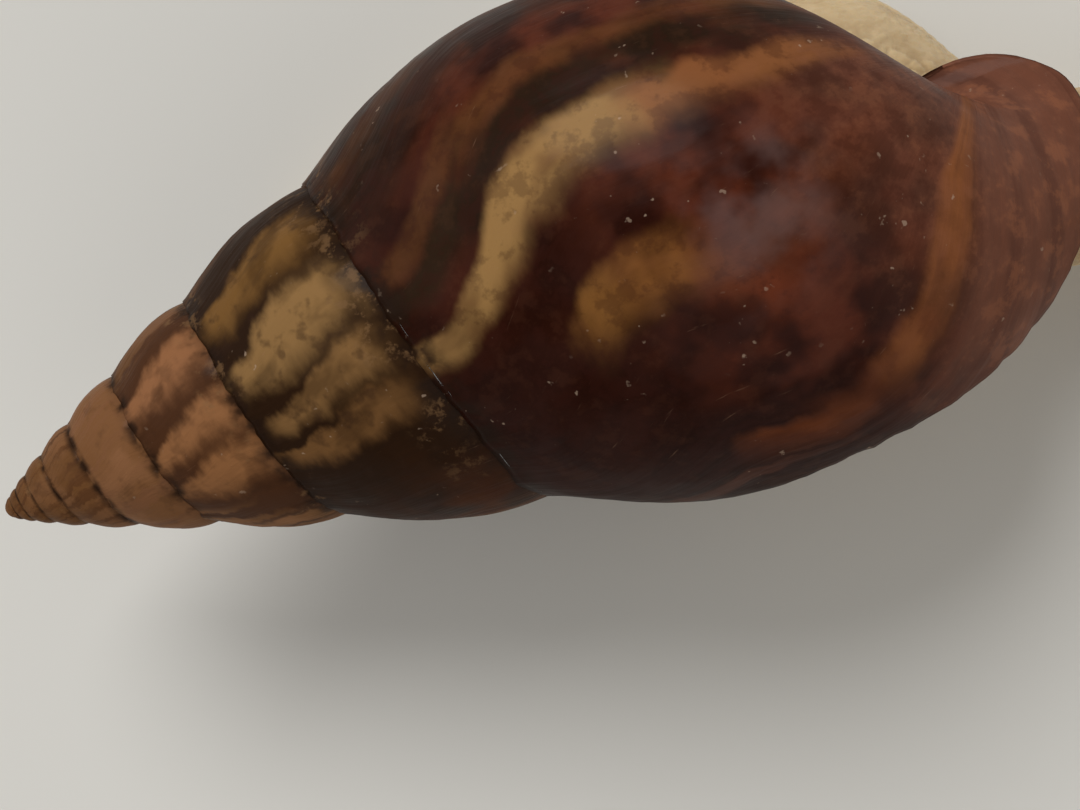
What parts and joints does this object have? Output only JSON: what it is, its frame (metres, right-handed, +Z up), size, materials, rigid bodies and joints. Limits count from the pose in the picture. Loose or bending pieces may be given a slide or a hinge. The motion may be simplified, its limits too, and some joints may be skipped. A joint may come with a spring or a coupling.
{
  "type": "giant african land snail",
  "caption": "Life-size still model of an adult giant african land snail, crawling, with a high-spired striped brown shell, head, feelers, eyes and foot.",
  "frame": {"origin": "on the floor under the middle of the whole animal's box", "axes": "+X forward, from tail to head, +Y the animal's left, +Z up"},
  "size_m": [0.1758, 0.0718, 0.0658],
  "materials": {
    "shell": "semi-gloss shell, dark brown with cream and ochre flames along the growth lines",
    "shell_spire": "semi-gloss worn shell, pinkish tan with brown streaks",
    "shell_apex": "worn shell, plain pinkish tan",
    "mantle": "moist smooth cream flesh",
    "skin": "moist cream skin with rows of tubercles",
    "eye": "glossy black"
  },
  "bodies": {
    "root": {"shell_apex": "shell_apex", "shell_upper_spire_whorl": "shell_spire", "shell_lower_spire_whorl": "shell_spire", "shell_penultimate_whorl": "shell", "shell_body_whorl": "shell", "mantle_collar": "mantle", "tail": "skin", "foot_rear": "skin", "foot_middle": "skin", "foot_front": "skin", "waist": "skin", "neck_rear": "skin", "neck_front": "skin", "head": "skin", "lips": "skin", "upper_tentacle_left_root": "skin", "upper_tentacle_left_tip": "skin", "eye_left": "eye", "lower_tentacle_left": "skin", "upper_tentacle_right_root": "skin", "upper_tentacle_right_tip": "skin", "eye_right": "eye", "lower_tentacle_right": "skin"}
  },
  "joints": []
}
